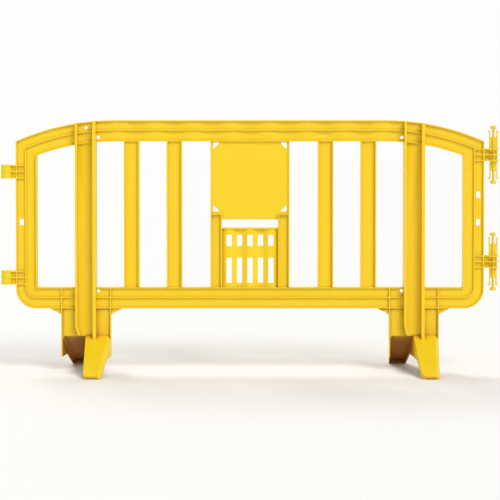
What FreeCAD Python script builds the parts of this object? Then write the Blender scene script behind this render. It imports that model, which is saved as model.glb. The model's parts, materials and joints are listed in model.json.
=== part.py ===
import FreeCAD, Part
import math
import os

# Interlocking plastic pedestrian barrier: a ribbed panel on four hollow legs, with link sockets on its
# left end and turning link pins on its right end. Millimetres, +Z up, the front faces -Y, and +X is to
# the right of someone who looks at the front. The origin is on the ground under the panel's middle.

Vec = FreeCAD.Vector
os.makedirs("parts", exist_ok=True)

# ---- Driving dimensions -------------------------------------------------------------------------

WEB = 5.0                    # thickness of every flat web
RIB = 5.0                    # thickness of the panel's ribs
RIB_DEPTH = 12.0             # ribs of the frame, from the mid-plane to their front edge

# Outline of the panel
PANEL_HALF = 936.0           # half the width of the panel
PANEL_BOTTOM = 252.0         # height of its underside
PANEL_TOP = 1005.0           # height of its level top edge
ARCH_START_X = 540.0         # the top edge is level up to here, then falls away as an arc
ARCH_R = 975.0
ARCH_CENTRE_Z = PANEL_TOP - ARCH_R
BOTTOM_CORNER_R = 80.0
WINDOW_CORNER_R = 5.0
FRAME_WIDTH = 85.0           # width of the rails and end stiles
MID_RIB_INSET = 37.0         # from the panel's edge to the near side of the rib between
MID_RIB_LIFT = 5.0           # how much further in that rib runs along the bottom
STILE_FLANGE_DEPTH = 18.0    # flange of an end stile along the window, from the mid-plane

# Corrugation of the top rail's web
RAIL_WAVE_HALF = 75.5        # half a wave, along X
RAIL_WAVE_COUNT = 15         # half waves, the middle one bulging to the rear
RAIL_WAVE_RISE = 3.5

# Posts, which stand over the legs
POST_X = 656.0
POST_HALF = 41.0
POST_RIB = 9.0               # flange over a leg's open back
POST_LEG_RIB = 13.0          # flange that runs down onto a leg
POST_DEPTH = 40.0
POST_HEEL_R = 106.0          # curve at the foot of the edge over a leg's open back
POST_HEEL_HEIGHT = 47.0
LABEL_RECESS = (38.0, 1.8, 80.0)     # width, depth and height of a shallow blank recess
LABEL_RECESS_BOTTOM = 438.0

# Legs
LEG_TOP = 147.0              # height where the leg leaves the post
LEG_REACH = 268.0            # from the mid-plane to the toe
LEG_HALF_ROOT = 100.0        # from the post's middle to the leg's outer face, at the panel
LEG_TAPER = 0.0835           # how far the outer side comes in, per millimetre of reach
LEG_INNER_TOE = 10.0         # the inner side, from the post's middle, at the toe
LEG_WALL = 5.0
TOE_HEIGHT = 14.0
TOE_CORNER_R = 20.0
BEVEL_WIDTH = 12.0           # bevel between the leg's top and its outer side
BEVEL_DROP = 18.0
BELLY_HEIGHT = 57.0          # lower edge of the leg's sides, near the panel
BELLY_REACH = 110.0          # it is level up to here, then falls to the sole
SOLE_REACH = 244.0           # where the sole starts
SOLE = 5.0
GUSSET_WIDTH = 46.0
GUSSET_HEIGHT = 25.0

# Slats, sign panel and vent panel
SLAT_CENTRES = (-473.0, -302.0, 302.0, 473.0)
SLAT_HALF = 31.0
SLAT_DEPTH = 18.0
SIGN_HALF = 158.0
SIGN_BOTTOM = 608.0
SIGN_LEDGE_TOP = 633.0
SIGN_RIM_DEPTH = 8.0
TIE_CORNER = 27.0            # short sides of the triangular tie openings
TIE_ROUND = 2.5
TIE_MARGIN = 11.0            # from the panel's side to the opening
TIE_TOP_GAP = 4.0            # from the top rail to the upper openings
TIE_LEDGE_GAP = 7.0          # from the ledge to the lower openings
VENT_POST_INNER = 112.0
VENT_TOP = 576.0
VENT_LIP = 6.0
VENT_LIP_DEPTH = 10.0
VENT_WAVE_HALF = 42.0
VENT_WAVE_COUNT = 7
VENT_WAVE_RISE = 6.0
VENT_PITCH = 41.8
VENT_WIDTH = 21.0
VENT_ROWS = ((354.0, 455.0), (502.0, 547.0))
VENTS_PER_ROW = 5
VENT_ROUND = 3.0

# Holes and slots in the panel
LIGHT_HOLE_R = 6.5
LIGHT_HOLE_Z = 975.0
BOLT_HOLE_R = 7.0
BOLT_HOLE_X = 607.0
BOLT_HOLE_HEIGHTS = (322.0, 936.0)
STRAP_SLOT = (17.0, 26.0)    # width and height
STRAP_SLOT_ROUND = 3.0
STRAP_SLOT_X = 913.0
LEFT_STRAP_HEIGHTS = (597.0,)
RIGHT_STRAP_HEIGHTS = (597.0, 707.0)

# Link sockets and pin brackets, each of three plates
LINK_AXIS_X = 973.0          # from the panel's middle to the pin's axis
LINK_LUG_R = 24.0
LINK_PLATE = 5.0
LINK_WEB = 10.0              # thickness of the web between the plates
SOCKET_TUBE_R = 22.5
SOCKET_BOTTOMS = {"lower": 348.0, "upper": 772.0}
SOCKET_HEIGHT = 55.0
SOCKET_BORE_R = 18.0
BRACKET_BOTTOMS = {"lower": 415.0, "upper": 842.0}
BRACKET_HEIGHT = 50.0
BRACKET_BORE_R = 16.0

# Link pins: a rod with four fins, a knob at each end and two snap arms beside each knob
PIN_RUNNING_GAP = 0.05
PIN_SHOULDER_GAP = 0.3
PIN_ROD_R = 5.0
PIN_FIN = 5.0
PIN_SIDE_FIN = 9.0           # front and rear fins, from the axis to their edge
KNOB_R = 12.5
KNOB_HEIGHT = 13.0
KNOB_ROUND = 5.0
PIN_END = 91.0               # from the bracket to the tip of the knob
BARB_REACH = 21.5            # from the axis to a barb's point
ARM_TIP = 72.0               # from the bracket to the tip of an arm
ARM_THICKNESS = 5.0
ARM_DEPTH = 10.0
ARM_ROOT_GAP = 0.3
BARB_BASE = 9.0              # from the arm's tip down to where the barb starts
BARB_POINT = (6.0, 3.5)      # from the arm's tip down to the two ends of the barb's blunt point
PIN_ENDS = {                 # wing length beyond the bracket, and the wing's half width
    "top": (46.0, 17.5),
    "bottom": (40.0, 15.5),
}


# ---- Shape helpers ------------------------------------------------------------------------------

def box(x0, x1, y0, y1, z0, z1):
    """A box between two values on each axis."""
    return Part.makeBox(x1 - x0, y1 - y0, z1 - z0, Vec(x0, y0, z0))


def polygon_face(points):
    """A flat face with these corners."""
    return Part.Face(Part.makePolygon(list(points) + [points[0]]))


def front_prism(points, half_depth):
    """A shape drawn in X and Z, made as deep as half_depth on both sides of the mid-plane."""
    face = polygon_face([Vec(x, -half_depth, z) for x, z in points])
    return face.extrude(Vec(0, 2 * half_depth, 0))


def side_prism(points, x0, x1):
    """A shape drawn in Y and Z, running from x0 to x1."""
    face = polygon_face([Vec(x0, y, z) for y, z in points])
    return face.extrude(Vec(x1 - x0, 0, 0))


def plan_prism(points, z0, z1):
    """A shape drawn in X and Y, running from z0 to z1."""
    face = polygon_face([Vec(x, y, z0) for x, y in points])
    return face.extrude(Vec(0, 0, z1 - z0))


def rod_y(radius, x, z, half_depth):
    """A cylinder along Y through the mid-plane."""
    return Part.makeCylinder(radius, 2 * half_depth, Vec(x, -half_depth, z), Vec(0, 1, 0))


def rod_z(radius, x, z0, z1):
    """An upright cylinder on the mid-plane."""
    return Part.makeCylinder(radius, z1 - z0, Vec(x, 0, z0))


def fuse(shapes):
    """One clean solid of these shapes."""
    return shapes[0].multiFuse(shapes[1:]).removeSplitter()


def fillet_where(solid, radius, chosen):
    """Round the straight edges whose two ends both satisfy chosen(point)."""
    edges = [edge for edge in solid.Edges if all(chosen(vertex.Point) for vertex in edge.Vertexes)]
    return solid.makeFillet(radius, edges)


def opening(points, half_depth, radius):
    """An opening drawn in X and Z through the mid-plane, with rounded corners."""
    solid = front_prism(points, half_depth)
    through = [edge for edge in solid.Edges if abs(edge.tangentAt(edge.FirstParameter).y) > 0.9]
    return solid.makeFillet(radius, through)


def rectangle(x, z, width, height):
    """Corners of a rectangle centred at x and z."""
    return [(x + i * width / 2, z + k * height / 2) for i, k in ((-1, -1), (1, -1), (1, 1), (-1, 1))]


def half_turn(shape, x):
    """The same shape turned half round about an upright line at x."""
    turned = shape.copy()
    turned.rotate(Vec(x, 0, 0), Vec(0, 0, 1), 180)
    return turned


def moved(shape, x, z=0.0):
    """A copy moved along X and Z."""
    copy = shape.copy()
    copy.translate(Vec(x, 0, z))
    return copy


def wave_sheet(count, half_wave, rise, middle_side, z0, z1):
    """A corrugated sheet of equal arcs, centred on X = 0. The middle arc bulges to middle_side of Y."""
    radius = (half_wave ** 2 / 4 + rise ** 2) / (2 * rise)
    start_x = -count * half_wave / 2
    first_side = middle_side * (-1) ** (count // 2)

    def joint(index, face_side):
        side = first_side * (-1) ** min(index, count - 1)
        lean = side * half_wave / 2 / radius
        if index < count:
            lean = -lean
        offset = face_side * WEB / 2
        rise_part = (radius - rise) / radius
        return Vec(start_x + index * half_wave + lean * offset, rise_part * offset, z0)

    def crest(index, face_side):
        side = first_side * (-1) ** index
        return Vec(start_x + (index + 0.5) * half_wave, side * rise + face_side * WEB / 2, z0)

    edges = []
    for face_side in (1, -1):
        for index in range(count):
            ends = (joint(index, face_side), joint(index + 1, face_side))
            edges.append(Part.Arc(ends[0], crest(index, face_side), ends[1]).toShape())
    for index in (0, count):
        edges.append(Part.makeLine(joint(index, 1), joint(index, -1)))
    wire = Part.Wire(Part.__sortEdges__(edges))
    return Part.Face(wire).extrude(Vec(0, 0, z1 - z0))


# ---- Panel outline and frame --------------------------------------------------------------------

def arch_z(x, inset=0.0):
    """Height of the panel's top edge at x, or of a line that runs inset inside it."""
    beyond = max(abs(x) - ARCH_START_X, 0.0)
    return ARCH_CENTRE_Z + math.sqrt((ARCH_R - inset) ** 2 - beyond ** 2)


def outline_slab(inset, half_depth, lift=0.0):
    """The panel's outline, drawn in by inset all round and by lift more at the bottom, as a slab."""
    half = PANEL_HALF - inset
    bottom = PANEL_BOTTOM + inset + lift
    radius = max(BOTTOM_CORNER_R - inset, WINDOW_CORNER_R)
    shoulder_x = (half + ARCH_START_X) / 2
    slant = radius * (1 - math.sqrt(0.5))

    def at(x, z):
        return Vec(x, -half_depth, z)

    def arc(*points):
        return Part.Arc(*[at(x, z) for x, z in points]).toShape()

    corner_z = arch_z(half, inset)
    top = arch_z(0, inset)
    edges = [Part.makeLine(at(-ARCH_START_X, top), at(ARCH_START_X, top)),
             Part.makeLine(at(radius - half, bottom), at(half - radius, bottom))]
    for side in (-1, 1):
        edge_x = side * half
        edges.append(arc((side * ARCH_START_X, top),
                         (side * shoulder_x, arch_z(shoulder_x, inset)),
                         (edge_x, corner_z)))
        edges.append(Part.makeLine(at(edge_x, corner_z), at(edge_x, bottom + radius)))
        edges.append(arc((edge_x, bottom + radius),
                         (edge_x - side * slant, bottom + slant),
                         (edge_x - side * radius, bottom)))
    wire = Part.Wire(Part.__sortEdges__(edges))
    return Part.Face(wire).extrude(Vec(0, 2 * half_depth, 0))


def band(outer_inset, inner_inset, half_depth, lift=0.0):
    """The strip of the panel between two insets from its edge."""
    return outline_slab(outer_inset, half_depth, lift).cut(outline_slab(inner_inset, half_depth, lift))


def frame_ribs():
    """The three ribs that run round the whole frame."""
    runs = ((0.0, 0.0), (MID_RIB_INSET, MID_RIB_LIFT), (FRAME_WIDTH - RIB, 0.0))
    return [band(start, start + RIB, RIB_DEPTH, lift) for start, lift in runs]


WINDOW_HALF = PANEL_HALF - FRAME_WIDTH
WINDOW_BOTTOM = PANEL_BOTTOM + FRAME_WIDTH
WINDOW_TOP = PANEL_TOP - FRAME_WIDTH
MITRE_INNER = (WINDOW_HALF, arch_z(WINDOW_HALF, FRAME_WIDTH))
MITRE_CORNER = (PANEL_HALF, arch_z(PANEL_HALF))
MITRE_OUTER = tuple(2 * outer - inner for inner, outer in zip(MITRE_INNER, MITRE_CORNER))
ABOVE = PANEL_TOP + 100.0
FLAT_WEB = band(0.0, FRAME_WIDTH, WEB / 2)
RIBS = frame_ribs()


def top_rail():
    """The arched rail, not yet drilled. Its web is corrugated between the posts."""
    region = front_prism([(-MITRE_OUTER[0], MITRE_OUTER[1]), (-MITRE_OUTER[0], ABOVE),
                          (MITRE_OUTER[0], ABOVE), MITRE_OUTER, MITRE_INNER,
                          (-MITRE_INNER[0], MITRE_INNER[1])], POST_DEPTH)
    wave_end = RAIL_WAVE_COUNT * RAIL_WAVE_HALF / 2
    flat = FLAT_WEB.cut(box(-wave_end, wave_end, -RIB_DEPTH, RIB_DEPTH, MITRE_INNER[1], ABOVE))
    wave = wave_sheet(RAIL_WAVE_COUNT, RAIL_WAVE_HALF, RAIL_WAVE_RISE, 1, MITRE_INNER[1], ABOVE)
    wave = wave.common(band(0.0, FRAME_WIDTH, RIB_DEPTH))
    return fuse([shape.common(region) for shape in RIBS + [flat]] + [wave])


def bottom_rail():
    """The straight rail, not yet drilled. Its ribs stop at the posts, and its web runs through them."""
    region = box(-WINDOW_HALF, WINDOW_HALF, -POST_DEPTH, POST_DEPTH, 0, WINDOW_BOTTOM + RIB)
    ribs = fuse([rib.common(region) for rib in RIBS])
    pieces = [FLAT_WEB.common(region)]
    for side in (-1, 1):
        post = side * POST_X
        ribs = ribs.cut(box(post - POST_HALF, post + POST_HALF, -POST_DEPTH, POST_DEPTH, 0, ABOVE))
        for edge in (-LEG_HALF_ROOT, LEG_HALF_ROOT - RIB):
            pieces.append(box(post + edge, post + edge + RIB, -RIB_DEPTH, RIB_DEPTH,
                              PANEL_BOTTOM, WINDOW_BOTTOM))
    return fuse([ribs] + pieces)


def drilled(rail):
    """A rail with its bolt holes, and the light's hole above the left post."""
    holes = [rod_y(LIGHT_HOLE_R, -POST_X, LIGHT_HOLE_Z, RIB_DEPTH)]
    holes += [rod_y(BOLT_HOLE_R, side * BOLT_HOLE_X, z, RIB_DEPTH) for side in (-1, 1)
              for z in BOLT_HOLE_HEIGHTS]
    return rail.cut(Part.makeCompound(holes))


def plate_heights(bottom, height):
    """Undersides of the three plates of a socket or bracket."""
    return [bottom + index * (height - LINK_PLATE) / 2 for index in range(3)]


def end_stile(side, link_bottoms, link_height, strap_heights):
    """An upright end of the frame. Short ribs behind its outer edge carry on the link plates."""
    region = front_prism([(side * x, z) for x, z in (
        (WINDOW_HALF, 0.0), (MITRE_OUTER[0], 0.0), MITRE_OUTER, MITRE_INNER)], POST_DEPTH)
    flange = band(FRAME_WIDTH - RIB, FRAME_WIDTH, STILE_FLANGE_DEPTH)
    pieces = [shape.common(region) for shape in RIBS + [FLAT_WEB, flange]]
    channel = sorted((side * (PANEL_HALF - RIB), side * (PANEL_HALF - MID_RIB_INSET)))
    for bottom in link_bottoms.values():
        for z in plate_heights(bottom, link_height):
            pieces.append(box(channel[0], channel[1], -RIB_DEPTH, RIB_DEPTH, z, z + LINK_PLATE))
    stile = fuse(pieces)
    for height in strap_heights:
        corners = rectangle(side * STRAP_SLOT_X, height, *STRAP_SLOT)
        stile = stile.cut(opening(corners, WEB, STRAP_SLOT_ROUND))
    return stile


# ---- Legs and posts, drawn about the post's own middle ------------------------------------------

def leg_envelope(wall):
    """The space inside a front leg's walls when wall is their thickness, or the leg's outside for 0."""
    hollow = wall > 0
    near_y = WEB if hollow else WEB / 2
    slope = (LEG_TOP - TOE_HEIGHT) / (LEG_REACH - WEB / 2)
    top_drop = wall * math.hypot(1, slope)
    toe_y = wall - LEG_REACH
    top_at_toe = LEG_TOP - slope * (LEG_REACH - WEB / 2 - wall) - top_drop
    below = -2 * LEG_WALL
    if hollow:
        belly = [(toe_y, SOLE), (-SOLE_REACH, SOLE), (-SOLE_REACH, below), (near_y, below)]
    else:
        belly = [(toe_y, 0.0), (-SOLE_REACH, 0.0), (-BELLY_REACH, BELLY_HEIGHT), (near_y, BELLY_HEIGHT)]
    side_view = [(near_y, LEG_TOP - top_drop), (-WEB / 2, LEG_TOP - top_drop), (toe_y, top_at_toe)]
    side = side_prism(side_view + belly, -LEG_HALF_ROOT, LEG_HALF_ROOT)

    inner_lean = (LEG_INNER_TOE + WEB / 2) / LEG_REACH

    def inner_x(y):
        return wall - WEB / 2 - inner_lean * min(y, 0.0)

    def outer_x(y):
        return LEG_HALF_ROOT - wall + LEG_TAPER * min(y, 0.0)

    plan = plan_prism([(inner_x(0), near_y), (outer_x(0), near_y), (outer_x(0), 0.0),
                       (outer_x(toe_y), toe_y), (inner_x(toe_y), toe_y), (inner_x(0), 0.0)],
                      below, ABOVE)
    plan = fillet_where(plan, TOE_CORNER_R - wall, lambda point: abs(point.y - toe_y) < 0.1)
    body = side.common(plan)

    along = Vec(-LEG_TAPER, -1, -slope)
    down = Vec(BEVEL_WIDTH, 0, -BEVEL_DROP)
    outward = down.cross(along).normalize()
    if outward.x < 0:
        outward = outward * -1
    edge = Vec(LEG_HALF_ROOT - BEVEL_WIDTH, -WEB / 2, LEG_TOP) - outward * wall
    reach = 2 * LEG_REACH
    corners = [edge + along * a * reach + down * b * 10 for a, b in ((-1, -1), (1, -1), (1, 1), (-1, 1))]
    return body.cut(polygon_face(corners).extrude(outward * LEG_HALF_ROOT))


def front_leg():
    """The hollow front leg, open behind and below, with its root under the rail and its gusset."""
    outside = leg_envelope(0.0)
    shell = outside.cut(leg_envelope(LEG_WALL))
    shell = shell.cut(box(-LEG_WALL, WEB / 2, 0.0, WEB, 0.0, LEG_TOP + WEB))
    root = box(POST_HALF, LEG_HALF_ROOT - RIB, -WEB / 2, WEB / 2, LEG_TOP - LEG_WALL, PANEL_BOTTOM)
    rib_x = LEG_HALF_ROOT - RIB
    front_rib = box(rib_x, LEG_HALF_ROOT, -RIB_DEPTH, 0.0, LEG_TOP - BEVEL_DROP, PANEL_BOTTOM)
    rear_rib = box(rib_x, LEG_HALF_ROOT, 0.0, RIB_DEPTH, BELLY_HEIGHT, PANEL_BOTTOM)
    gusset = front_prism([(LEG_HALF_ROOT, PANEL_BOTTOM), (LEG_HALF_ROOT + GUSSET_WIDTH, PANEL_BOTTOM),
                          (LEG_HALF_ROOT, PANEL_BOTTOM - GUSSET_HEIGHT)], WEB / 2)
    return fuse([shell, root, front_rib, rear_rib, gusset])


def front_half_post():
    """The half of a post in front of the mid-plane: a shallow channel that stands on the front leg."""
    foot = LEG_TOP - POST_DEPTH
    heel_top = LEG_TOP + POST_HEEL_HEIGHT
    web = box(-POST_HALF, POST_HALF, -WEB / 2, 0.0, LEG_TOP, PANEL_TOP)
    flange = box(POST_HALF - POST_LEG_RIB, POST_HALF, -POST_DEPTH, 0.0, foot, PANEL_TOP)
    heel_flange = box(-POST_HALF, POST_RIB - POST_HALF, -POST_DEPTH, 0.0, heel_top, PANEL_TOP)

    def heel_round(radius):
        return rod_y(radius, POST_HEEL_R - POST_HALF, heel_top, POST_DEPTH)

    heel_space = box(-POST_HALF, 0.0, -POST_DEPTH, 0.0, LEG_TOP, heel_top)
    heel = heel_space.common(heel_round(POST_HEEL_R)).cut(heel_round(POST_HEEL_R - POST_RIB))
    web = web.cut(heel_space.cut(heel_round(POST_HEEL_R)))
    half = fuse([web, flange, heel_flange, heel])
    width, depth, height = LABEL_RECESS
    recess = box(-width / 2, width / 2, -WEB, depth - WEB / 2,
                 LABEL_RECESS_BOTTOM, LABEL_RECESS_BOTTOM + height)
    return half.cut(recess)


def post(x, legs, rails):
    """A whole post at x, fitted round the two rails and down onto the tops of its two legs."""
    under_leg_top = leg_envelope(0.0)
    front = front_half_post().cut(under_leg_top)
    whole = moved(fuse([front, half_turn(front, 0.0)]), x)
    under_arch = outline_slab(0.0, POST_DEPTH).fuse(
        box(x - POST_HALF, x + POST_HALF, -POST_DEPTH, POST_DEPTH, 0.0, PANEL_BOTTOM + BOTTOM_CORNER_R))
    whole = whole.common(under_arch)
    for neighbour in legs + rails:
        whole = whole.cut(neighbour)
    return whole


# ---- Infill -------------------------------------------------------------------------------------

def channel(x0, x1, z0, z1, half_depth):
    """An upright I section: a web with a rib along each side."""
    return fuse([box(x0, x1, -WEB / 2, WEB / 2, z0, z1),
                 box(x0, x0 + RIB, -half_depth, half_depth, z0, z1),
                 box(x1 - RIB, x1, -half_depth, half_depth, z0, z1)])


def vent_post(side):
    """An upright beside the vent panel, closed at its top by a ledge under the sign panel."""
    x0, x1 = sorted((side * VENT_POST_INNER, side * SIGN_HALF))
    ledge = box(x0, x1, -SLAT_DEPTH, SLAT_DEPTH, SIGN_LEDGE_TOP - RIB, SIGN_LEDGE_TOP)
    return fuse([channel(x0, x1, WINDOW_BOTTOM, SIGN_LEDGE_TOP, SLAT_DEPTH), ledge])


def sign_panel():
    """The flat sign panel, with a low rim on its sides and a triangular tie opening at each corner."""
    face = front_prism([(-SIGN_HALF, SIGN_LEDGE_TOP), (-VENT_POST_INNER, SIGN_LEDGE_TOP),
                        (-VENT_POST_INNER, SIGN_BOTTOM), (VENT_POST_INNER, SIGN_BOTTOM),
                        (VENT_POST_INNER, SIGN_LEDGE_TOP), (SIGN_HALF, SIGN_LEDGE_TOP),
                        (SIGN_HALF, WINDOW_TOP), (-SIGN_HALF, WINDOW_TOP)], WEB / 2)
    rims = []
    openings = []
    for side in (-1, 1):
        x0, x1 = sorted((side * SIGN_HALF, side * (SIGN_HALF - RIB)))
        rims.append(box(x0, x1, -SIGN_RIM_DEPTH, SIGN_RIM_DEPTH, SIGN_LEDGE_TOP, WINDOW_TOP))
        x = side * (SIGN_HALF - TIE_MARGIN)
        for z, up in ((WINDOW_TOP - TIE_TOP_GAP, -1), (SIGN_LEDGE_TOP + TIE_LEDGE_GAP, 1)):
            corners = [(x, z), (x - side * TIE_CORNER, z), (x, z + up * TIE_CORNER)]
            openings.append(opening(corners, WEB, TIE_ROUND))
    return fuse([face] + rims).cut(Part.makeCompound(openings))


def vent_panel():
    """The corrugated panel below the hand hold, with two rows of upright vents and a lip on top."""
    sheet = wave_sheet(VENT_WAVE_COUNT, VENT_WAVE_HALF, VENT_WAVE_RISE, -1, WINDOW_BOTTOM, VENT_TOP)
    sheet = sheet.common(box(-VENT_POST_INNER, VENT_POST_INNER, -SLAT_DEPTH, SLAT_DEPTH,
                             WINDOW_BOTTOM, VENT_TOP))
    lip = box(-VENT_POST_INNER, VENT_POST_INNER, -VENT_LIP_DEPTH, VENT_LIP_DEPTH,
              VENT_TOP - VENT_LIP, VENT_TOP)
    vents = []
    for z0, z1 in VENT_ROWS:
        for index in range(VENTS_PER_ROW):
            x = (index - (VENTS_PER_ROW - 1) / 2) * VENT_PITCH
            corners = rectangle(x, (z0 + z1) / 2, VENT_WIDTH, z1 - z0)
            vents.append(opening(corners, SLAT_DEPTH, VENT_ROUND))
    return fuse([sheet, lip]).cut(Part.makeCompound(vents))


# ---- Links --------------------------------------------------------------------------------------

def link_lug(side, bottom, height, bore_r, tube_r=0.0):
    """Three plates that widen from the end stile to the pin's axis, with a bore through them all."""
    axis_x = side * LINK_AXIS_X
    near_x = side * PANEL_HALF
    reach = LINK_AXIS_X - PANEL_HALF
    to_edge = math.hypot(reach, RIB_DEPTH)
    lean = math.atan2(RIB_DEPTH, reach) + math.acos(LINK_LUG_R / to_edge)
    touch_x = axis_x - side * LINK_LUG_R * math.cos(lean)
    touch_y = LINK_LUG_R * math.sin(lean)
    plan = [(near_x, -RIB_DEPTH), (touch_x, -touch_y), (touch_x, touch_y), (near_x, RIB_DEPTH)]
    pieces = []
    for z in plate_heights(bottom, height):
        pieces.append(plan_prism(plan, z, z + LINK_PLATE))
        pieces.append(rod_z(LINK_LUG_R, axis_x, z, z + LINK_PLATE))
    x0, x1 = sorted((near_x, axis_x))
    pieces.append(box(x0, x1, -LINK_WEB / 2, LINK_WEB / 2, bottom, bottom + height))
    if tube_r > bore_r:
        pieces.append(rod_z(tube_r, axis_x, bottom, bottom + height))
    return fuse(pieces).cut(rod_z(bore_r, axis_x, bottom - LINK_PLATE, bottom + height + LINK_PLATE))


def knob(base_z, up):
    """A rounded knob whose flat side starts at base_z."""
    z0 = base_z if up > 0 else base_z - KNOB_HEIGHT
    solid = rod_z(KNOB_R, 0.0, z0, z0 + KNOB_HEIGHT)
    rims = [edge for edge in solid.Edges if isinstance(edge.Curve, Part.Circle)]
    return solid.makeFillet(KNOB_ROUND, rims)


def snap_arm_places(end):
    """Height above or below the bracket, and distance from the axis, of an arm's root at one end."""
    wing_length, half_width = PIN_ENDS[end]
    return wing_length, half_width - ARM_THICKNESS / 2


def link_pin():
    """A pin about its own axis, with Z = 0 at the bracket's underside."""
    journal_r = BRACKET_BORE_R - PIN_RUNNING_GAP
    cross = fuse([box(-journal_r, journal_r, -PIN_FIN / 2, PIN_FIN / 2, 0.0, BRACKET_HEIGHT),
                  box(-PIN_FIN / 2, PIN_FIN / 2, -journal_r, journal_r, 0.0, BRACKET_HEIGHT)])
    pieces = [cross.common(rod_z(journal_r, 0.0, 0.0, BRACKET_HEIGHT)),
              rod_z(PIN_ROD_R, 0.0, KNOB_HEIGHT / 2 - PIN_END,
                    BRACKET_HEIGHT + PIN_END - KNOB_HEIGHT / 2)]
    grooves = []
    for end, up in (("top", 1), ("bottom", -1)):
        wing_length, half_width = PIN_ENDS[end]
        face_z = BRACKET_HEIGHT + PIN_SHOULDER_GAP if up > 0 else 0.0
        start_z = BRACKET_HEIGHT if up > 0 else 0.0
        end_z = start_z + up * wing_length
        z0, z1 = sorted((face_z, end_z))
        pieces.append(box(-half_width, half_width, -PIN_FIN / 2, PIN_FIN / 2, z0, z1))
        fin_z = sorted((start_z, start_z + up * (PIN_END - KNOB_HEIGHT)))
        pieces.append(box(-PIN_FIN / 2, PIN_FIN / 2, -PIN_SIDE_FIN, PIN_SIDE_FIN, fin_z[0], fin_z[1]))
        pieces.append(knob(start_z + up * (PIN_END - KNOB_HEIGHT), up))
        for side in (-1, 1):
            root_x = side * (half_width - ARM_THICKNESS / 2)
            grooves.append(rod_y(ARM_THICKNESS / 2 + ARM_ROOT_GAP, root_x, end_z, ARM_DEPTH))
    return fuse(pieces).cut(Part.makeCompound(grooves))


def snap_arm(end, side):
    """A springy arm with a barb, standing on the end of one wing. Same origin as the pin."""
    root, distance = snap_arm_places(end)
    inner = distance - ARM_THICKNESS / 2
    outer = distance + ARM_THICKNESS / 2
    point = [(BARB_REACH, ARM_TIP - below) for below in BARB_POINT]
    profile = [(inner, root), (outer, root), (outer, ARM_TIP - BARB_BASE), *point,
               (outer, ARM_TIP), (inner, ARM_TIP)]
    bead = rod_y(ARM_THICKNESS / 2, side * distance, root, ARM_DEPTH / 2)
    arm = fuse([front_prism([(side * x, z) for x, z in profile], ARM_DEPTH / 2), bead])
    if end == "top":
        return moved(arm, 0.0, BRACKET_HEIGHT)
    return arm.mirror(Vec(0, 0, 0), Vec(0, 0, 1))


# ---- Assembly -----------------------------------------------------------------------------------

def save(name, shape):
    """Check a piece and write its file."""
    if len(shape.Solids) != 1 or not shape.isValid():
        raise ValueError(name + " has " + str(len(shape.Solids)) + " solids or is not valid")
    shape.Solids[0].exportStep("parts/" + name + ".step")
    print(name, round(shape.Volume / 1000, 1), "cm3")


def main():
    rails = {"top_rail": top_rail(), "bottom_rail": bottom_rail()}
    for name, shape in rails.items():
        save(name, drilled(shape))
    save("left_end_stile", end_stile(-1, SOCKET_BOTTOMS, SOCKET_HEIGHT, LEFT_STRAP_HEIGHTS))
    save("right_end_stile", end_stile(1, BRACKET_BOTTOMS, BRACKET_HEIGHT, RIGHT_STRAP_HEIGHTS))

    leg = front_leg()
    for hand, x in (("left", -POST_X), ("right", POST_X)):
        front = moved(leg, x)
        rear = half_turn(front, x)
        save(hand + "_front_leg", front)
        save(hand + "_rear_leg", rear)
        save(hand + "_post", post(x, [front, rear], list(rails.values())))

    for number, x in enumerate(SLAT_CENTRES, start=1):
        slat = channel(x - SLAT_HALF, x + SLAT_HALF, WINDOW_BOTTOM, WINDOW_TOP, SLAT_DEPTH)
        save("slat_" + str(number), slat)
    save("left_vent_post", vent_post(-1))
    save("right_vent_post", vent_post(1))
    save("sign_panel", sign_panel())
    save("vent_panel", vent_panel())

    pin = link_pin()
    for level in ("lower", "upper"):
        socket = link_lug(-1, SOCKET_BOTTOMS[level], SOCKET_HEIGHT, SOCKET_BORE_R, SOCKET_TUBE_R)
        save(level + "_socket", socket)
        bracket_z = BRACKET_BOTTOMS[level]
        save(level + "_bracket", link_lug(1, bracket_z, BRACKET_HEIGHT, BRACKET_BORE_R))
        save(level + "_link_pin", moved(pin, LINK_AXIS_X, bracket_z))
        places = [("top", -1), ("top", 1), ("bottom", -1), ("bottom", 1)]
        for number, (end, side) in enumerate(places, start=1):
            save(level + "_pin_snap_arm_" + str(number), moved(snap_arm(end, side), LINK_AXIS_X, bracket_z))


main()
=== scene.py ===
import json
import math

import bmesh
import bpy
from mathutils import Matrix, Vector
from mathutils.bvhtree import BVHTree


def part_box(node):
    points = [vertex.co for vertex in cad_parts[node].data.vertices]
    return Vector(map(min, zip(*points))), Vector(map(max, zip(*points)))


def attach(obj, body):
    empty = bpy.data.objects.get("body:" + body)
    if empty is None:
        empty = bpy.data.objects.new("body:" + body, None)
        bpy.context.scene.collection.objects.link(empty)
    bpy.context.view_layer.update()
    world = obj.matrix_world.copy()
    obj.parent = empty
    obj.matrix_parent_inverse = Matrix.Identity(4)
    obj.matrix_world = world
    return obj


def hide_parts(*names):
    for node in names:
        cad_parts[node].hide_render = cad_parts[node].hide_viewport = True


# Looks for an interlocking yellow plastic pedestrian barrier. Metres throughout, in the CAD frame.

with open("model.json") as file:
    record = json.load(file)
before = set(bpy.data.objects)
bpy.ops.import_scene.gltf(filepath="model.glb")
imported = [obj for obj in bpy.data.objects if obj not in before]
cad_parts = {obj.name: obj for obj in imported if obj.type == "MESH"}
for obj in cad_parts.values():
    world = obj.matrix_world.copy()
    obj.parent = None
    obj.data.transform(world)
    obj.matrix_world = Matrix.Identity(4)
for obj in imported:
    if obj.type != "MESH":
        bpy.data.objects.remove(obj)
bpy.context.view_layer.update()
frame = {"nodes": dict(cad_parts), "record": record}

# ---- Driving values -----------------------------------------------------------------------------

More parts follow.
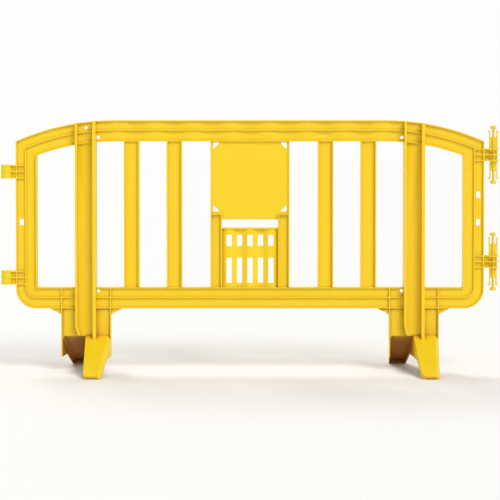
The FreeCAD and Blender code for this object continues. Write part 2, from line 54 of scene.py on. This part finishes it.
MM = 0.001
EDGE_ROUND = 0.6 * MM        # radius of the moulding's outer edges
FINE_ROUND = 0.4 * MM        # the same on the pieces with small steps and curves
FINE_NODES = ("vent_panel", "upper_bracket", "lower_bracket")
EDGE_SEGMENTS = 2
EDGE_ANGLE = math.radians(30)
FLAT_ANGLE = math.radians(0.5)       # faces that meet flatter than this are one
WELD = 0.005 * MM            # points this near each other are one
TOUCH_GAP = 1.0 * MM         # nodes whose boxes are this near may share a seam
SEAM_REACH = 0.05 * MM       # an edge this near a neighbour's surface is a seam, and stays sharp
SEAM_STATIONS = (0.1, 0.5, 0.9)      # the parts of an edge's length where that is tested
EDGE_LAYER = "worn_edge"     # 1 on rounded edges, 0 on the faces between them
FIXED_BODY = "barrier"

# Plastic. Scales are in features per metre, and depths in metres.
DRIFT_SCALE = 3.0            # slow drift of the pigment
FLOW_STRETCH = (9.0, 9.0, 1.2)
FLOW_SCALE = 2.5             # flow lines, drawn out upwards by the stretch
SPECKLE_SCALE = 900.0
RUB_SCALE = 55.0             # where edges are rubbed paler
SKIN_SCALE = 420.0
SKIN_DEPTH = 0.10 * MM
SKIN_BUMP = 0.35
SINK_SCALE = 14.0            # shallow sink marks
SINK_DEPTH = 0.9 * MM
SINK_BUMP = 0.25
SCUFF_STRETCH = (30.0, 30.0, 260.0)
SCUFF_TURN = (0.3, 0.5, 0.2)
SCUFF_ROUGHNESS = 0.09       # how much rougher a scuff is
GLOSS_SCALE = 7.0            # patches of more and less gloss
PLASTIC_IOR = 1.50
PLASTIC_SPECULAR = 0.36
# The brown laid on as painted shade in corners, recesses and the legs' hollows.
PAINTED_SHADE = (0.36, 0.105, 0.016, 1)
OPENNESS_SAMPLES = 8
# Painted shade, a brown laid over the colour where ambient occlusion finds walls close: how near walls
# stand to each other there, how open the surface is where the painted shade is darkest and where it ends,
# and how much it covers at most.
CORNER_SHADE = (12 * MM, 0.30, 0.80, 0.28)
HOLLOW_SHADE = (150 * MM, 0.34, 0.64, 0.88)      # painted shade on the legs only, darkest in their hollows

# Studio: each key has a direction, a strength and a colour. The soft light has strength LOW_LIGHT up to
# FADE_START and HIGH_LIGHT from FADE_END up, both of them heights on a unit sphere.
FLOOR_HALF = 180.0
FLOOR_COLOUR = (0.86, 0.86, 0.857, 1)
FLOOR_ROUGHNESS = 0.85
KEY_WIDTH = math.radians(24)
KEYS = {"key": ((2.7, -4.8, 5.0), 1.62, (1.0, 0.985, 0.96)),
        "back_key": ((-2.7, 4.8, 5.0), 1.2, (1.0, 0.99, 0.97))}
FADE_START = 0.10
FADE_END = 0.42
LOW_LIGHT = 0.985
HIGH_LIGHT = 0.50

# Camera: in front of the panel, at chest height, pitched down a little. A small shift does the rest of
# the framing, so that uprights stay upright in the picture.
CAMERA_DISTANCE = 7.0
CAMERA_HEIGHT = 0.890
CAMERA_LENS = 126.0
CAMERA_SENSOR = 36.0
CAMERA_PITCH = math.radians(1.67)
CAMERA_SHIFT = -0.100
VIEW_REACH = 400.0           # farther than the floor's far corners


def added(name, data):
    """A new object in the scene."""
    made = bpy.data.objects.new(name, data)
    bpy.context.scene.collection.objects.link(made)
    return made


# ---- Moulded pieces -----------------------------------------------------------------------------

def welded(node):
    """The node's CAD mesh with its split points joined and its flat faces whole."""
    mesh = bmesh.new()
    mesh.from_mesh(frame["nodes"][node].data)
    bmesh.ops.remove_doubles(mesh, verts=mesh.verts, dist=WELD)
    bmesh.ops.dissolve_limit(mesh, angle_limit=FLAT_ANGLE, use_dissolve_boundaries=False,
                             verts=mesh.verts, edges=mesh.edges)
    return mesh


def is_seam(edge, trees):
    """True if the edge lies on a neighbour's surface, where the real moulding runs on unbroken."""
    first, last = (vertex.co for vertex in edge.verts)
    points = [first * (1.0 - along) + last * along for along in SEAM_STATIONS]
    return any(all(tree.find_nearest(point, SEAM_REACH)[0] is not None for point in points)
               for tree in trees)


def moulded(node, radius, trees, body):
    """A copy of the node with rounded outer edges, which stands for it and rides on its body. Inner
    corners and seams stay sharp: rounding them too would fold the narrow faces beside them."""
    mesh = welded(node)
    layer = mesh.faces.layers.float.new(EDGE_LAYER)
    creases = [edge for edge in mesh.edges
               if len(edge.link_faces) == 2 and edge.calc_face_angle() > EDGE_ANGLE]
    for edge in creases:
        edge.smooth = edge.is_convex and not is_seam(edge, trees)
    outer = [edge for edge in creases if edge.smooth]
    made = bmesh.ops.bevel(mesh, geom=outer, offset=radius, offset_type="OFFSET", segments=EDGE_SEGMENTS,
                           profile=0.5, affect="EDGES", clamp_overlap=False, miter_outer="SHARP")
    for face in made["faces"]:
        face[layer] = 1.0
    for face in mesh.faces:
        face.smooth = True
    low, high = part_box(node)
    for vertex in mesh.verts:
        vertex.co = Vector(min(max(value, least), most) for value, least, most in zip(vertex.co, low, high))
    data = bpy.data.meshes.new(node + "_moulding")
    mesh.to_mesh(data)
    mesh.free()
    piece = added(node + "_moulding", data)
    normals = piece.modifiers.new("flat_faces", "WEIGHTED_NORMAL")
    normals.mode = "FACE_AREA"
    normals.keep_sharp = True
    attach(piece, body)
    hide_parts(node)
    return piece


def neighbour_trees(node, members):
    """Search trees of the other nodes whose boxes touch this one's."""
    low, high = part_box(node)
    trees = []
    for other in members:
        if other == node:
            continue
        other_low, other_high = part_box(other)
        apart = any(low[axis] > other_high[axis] + TOUCH_GAP or other_low[axis] > high[axis] + TOUCH_GAP
                    for axis in range(3))
        if not apart:
            source = bmesh.new()
            source.from_mesh(frame["nodes"][other].data)
            trees.append(BVHTree.FromBMesh(source))
            source.free()
    return trees


def make_pieces():
    """A moulded piece for every CAD node, each on its own body."""
    pieces = {}
    bodies = frame["record"]["behaviour"]["bodies"]
    for body, members in bodies.items():
        for node in members:
            fine = body != FIXED_BODY or node in FINE_NODES
            radius = FINE_ROUND if fine else EDGE_ROUND
            pieces[node] = moulded(node, radius, neighbour_trees(node, members), body)
    return pieces


# ---- Materials ----------------------------------------------------------------------------------

# Places of the colour sockets on a mix node, which also has sockets for other kinds of value.
MIX_FACTOR = 0
MIX_FIRST = 6
MIX_SECOND = 7
MIX_COLOUR = 2


class Nodes:
    """A short way to write a node tree."""

    def __init__(self, name):
        self.material = bpy.data.materials.new(name)
        self.material.use_nodes = True
        self.tree = self.material.node_tree
        self.tree.nodes.clear()

    def feed(self, socket, value):
        """Links another node's output to the socket, or sets a plain value on it."""
        if isinstance(value, bpy.types.NodeSocket):
            self.tree.links.new(value, socket)
        else:
            socket.default_value = value

    def add(self, kind, inputs=None, **settings):
        """A new node. inputs holds a value or another node's output for each named input."""
        node = self.tree.nodes.new("ShaderNode" + kind)
        for name, value in settings.items():
            setattr(node, name, value)
        for name, value in (inputs or {}).items():
            self.feed(node.inputs[name], value)
        return node

    def noise(self, where, scale, detail, roughness=0.5):
        """Smooth noise from 0 to 1, about half on average."""
        made = self.add("TexNoise", {"Vector": where, "Scale": scale, "Detail": detail,
                                     "Roughness": roughness})
        return made.outputs["Fac"]

    def spread(self, value, from_low, from_high, to_low, to_high):
        """value moved from one range to another, and kept inside it."""
        made = self.add("MapRange", {"Value": value, "From Min": from_low, "From Max": from_high,
                                     "To Min": to_low, "To Max": to_high})
        return made.outputs["Result"]

    def blend(self, factor, first, second):
        """The second colour mixed over the first."""
        made = self.add("Mix", data_type="RGBA")
        self.feed(made.inputs[MIX_FACTOR], factor)
        self.feed(made.inputs[MIX_FIRST], first)
        self.feed(made.inputs[MIX_SECOND], second)
        return made.outputs[MIX_COLOUR]

    def math(self, operation, first, second):
        """A sum or product of two values."""
        made = self.add("Math", operation=operation)
        self.feed(made.inputs[0], first)
        self.feed(made.inputs[1], second)
        return made.outputs["Value"]

    def show(self, shader):
        """Makes the shader the material's surface."""
        output = self.add("OutputMaterial")
        self.feed(output.inputs["Surface"], shader.outputs["BSDF"])


def polyethylene(name, base, deep, pale, roughness, painted_shades):
    """Satin moulded polyethylene: faint pigment drift, flow lines, a fine skin, paler worn edges, and
    painted shade in corners and hollows, a brown laid over the colour where the surface is closed in."""
    tree = Nodes(name)
    where = tree.add("TexCoord").outputs["Object"]
    drift = tree.noise(where, DRIFT_SCALE, 3.0)
    drawn = tree.add("Mapping", {"Vector": where, "Scale": FLOW_STRETCH}).outputs["Vector"]
    flow = tree.noise(drawn, FLOW_SCALE, 4.0, 0.55)
    speckle = tree.noise(where, SPECKLE_SCALE, 1.0)
    colour = tree.blend(tree.spread(drift, 0.35, 0.65, 0.0, 0.40), base, deep)
    colour = tree.blend(tree.spread(flow, 0.5, 0.75, 0.0, 0.12), colour, pale)
    colour = tree.blend(tree.spread(speckle, 0.62, 0.75, 0.0, 0.10), colour, deep)
    # Painted shade: each entry lays the brown over the colour where the surface is closed in.
    for reach, closed, opened, most in painted_shades:
        occlusion = tree.add("AmbientOcclusion", {"Distance": reach}, samples=OPENNESS_SAMPLES)
        openness = occlusion.outputs["AO"]
        colour = tree.blend(tree.spread(openness, closed, opened, most, 0.0), colour, PAINTED_SHADE)
    edge = tree.add("Attribute", attribute_name=EDGE_LAYER).outputs["Fac"]
    rubbed = tree.spread(tree.noise(where, RUB_SCALE, 5.0, 0.65), 0.42, 0.66, 0.25, 0.60)
    colour = tree.blend(tree.math("MULTIPLY", edge, rubbed), colour, pale)
    skin = tree.noise(where, SKIN_SCALE, 2.0)
    sink = tree.noise(where, SINK_SCALE, 2.0)
    scuff_space = tree.add("Mapping", {"Vector": where, "Scale": SCUFF_STRETCH,
                                       "Rotation": SCUFF_TURN}).outputs["Vector"]
    scuffs = tree.spread(tree.noise(scuff_space, 1.0, 6.0, 0.7), 0.60, 0.80, 0.0, 1.0)
    rough = tree.spread(tree.noise(where, GLOSS_SCALE, 4.0), 0.3, 0.7, roughness - 0.05, roughness + 0.06)
    rough = tree.math("ADD", rough, tree.math("MULTIPLY", scuffs, SCUFF_ROUGHNESS))
    low_bump = tree.add("Bump", {"Height": sink, "Strength": SINK_BUMP, "Distance": SINK_DEPTH})
    skin_bump = tree.add("Bump", {"Height": skin, "Strength": SKIN_BUMP, "Distance": SKIN_DEPTH,
                                  "Normal": low_bump.outputs["Normal"]})
    shader = tree.add("BsdfPrincipled", {"Base Color": colour, "Roughness": rough,
                                         "IOR": PLASTIC_IOR, "Specular IOR Level": PLASTIC_SPECULAR,
                                         "Normal": skin_bump.outputs["Normal"]})
    tree.show(shader)
    return tree.material


def paint(pieces):
    """One plastic for the moulding, with more painted shade in its legs, and a slightly glossier one for
    the link pins.
    """
    moulding = {"base": (0.86, 0.610, 0.008, 1), "deep": (0.84, 0.560, 0.006, 1),
                "pale": (0.90, 0.700, 0.060, 1), "roughness": 0.44}
    # Both plastics carry painted shade in corners, and the legs' plastic also paints their hollows dark.
    panel = polyethylene("yellow_polyethylene", painted_shades=(CORNER_SHADE,), **moulding)
    legs = polyethylene("yellow_leg_polyethylene", painted_shades=(CORNER_SHADE, HOLLOW_SHADE), **moulding)
    pins = polyethylene("yellow_pin_plastic", base=(0.84, 0.610, 0.014, 1), deep=(0.80, 0.550, 0.010, 1),
                        pale=(0.90, 0.720, 0.110, 1), roughness=0.38, painted_shades=(CORNER_SHADE,))
    slots = {entry["node"]: entry["material_slot"] for entry in frame["record"]["subparts"]}
    for node, piece in pieces.items():
        if slots[node] == "pin_plastic":
            plastic = pins
        elif node.endswith("_leg"):
            plastic = legs
        else:
            plastic = panel
        piece.data.materials.clear()
        piece.data.materials.append(plastic)


# ---- Studio -------------------------------------------------------------------------------------

def add_floor():
    """A plain pale floor, large enough to reach the horizon."""
    data = bpy.data.meshes.new("studio_floor")
    corners = [(-FLOOR_HALF, -FLOOR_HALF, 0), (FLOOR_HALF, -FLOOR_HALF, 0),
               (FLOOR_HALF, FLOOR_HALF, 0), (-FLOOR_HALF, FLOOR_HALF, 0)]
    data.from_pydata(corners, [], [(0, 1, 2, 3)])
    floor = added("studio_floor", data)
    tree = Nodes("pale_floor")
    tree.show(tree.add("BsdfPrincipled", {"Base Color": FLOOR_COLOUR, "Roughness": FLOOR_ROUGHNESS}))
    data.materials.append(tree.material)


def add_key(name, towards, strength, colour):
    """A wide, even light from far away in the direction of towards."""
    light = bpy.data.lights.new(name, "SUN")
    light.angle = KEY_WIDTH
    light.energy = strength
    light.color = colour
    lamp = added(name, light)
    lamp.location = towards
    lamp.rotation_euler = (-Vector(towards)).to_track_quat("-Z", "Y").to_euler()


def add_light():
    """Soft light from all round, a large key from the upper right in front and a weaker one behind."""
    world = bpy.data.worlds.new("studio")
    bpy.context.scene.world = world
    world.use_nodes = True
    tree = world.node_tree
    direction = tree.nodes.new("ShaderNodeTexCoord").outputs["Generated"]
    height = tree.nodes.new("ShaderNodeSeparateXYZ")
    fade = tree.nodes.new("ShaderNodeMapRange")
    fade.interpolation_type = "SMOOTHSTEP"
    tree.links.new(direction, height.inputs["Vector"])
    tree.links.new(height.outputs["Z"], fade.inputs["Value"])
    fade.inputs["From Min"].default_value = FADE_START
    fade.inputs["From Max"].default_value = FADE_END
    fade.inputs["To Min"].default_value = LOW_LIGHT
    fade.inputs["To Max"].default_value = HIGH_LIGHT
    tree.links.new(fade.outputs["Result"], tree.nodes["Background"].inputs["Strength"])
    tree.nodes["Background"].inputs["Color"].default_value = (1.0, 1.0, 1.0, 1)
    for name, (towards, strength, colour) in KEYS.items():
        add_key(name, towards, strength, colour)


def add_camera():
    """The camera at the photograph's viewing angle."""
    data = bpy.data.cameras.new("camera")
    data.lens = CAMERA_LENS
    data.sensor_width = CAMERA_SENSOR
    data.shift_y = CAMERA_SHIFT
    data.clip_end = VIEW_REACH
    camera = added("camera", data)
    camera.location = (0.0, -CAMERA_DISTANCE, CAMERA_HEIGHT)
    camera.rotation_euler = (math.pi / 2 - CAMERA_PITCH, 0.0, 0.0)
    bpy.context.scene.camera = camera


# ---- Scene --------------------------------------------------------------------------------------

paint(make_pieces())
add_floor()
add_light()
add_camera()
bpy.context.scene.view_settings.view_transform = "Standard"
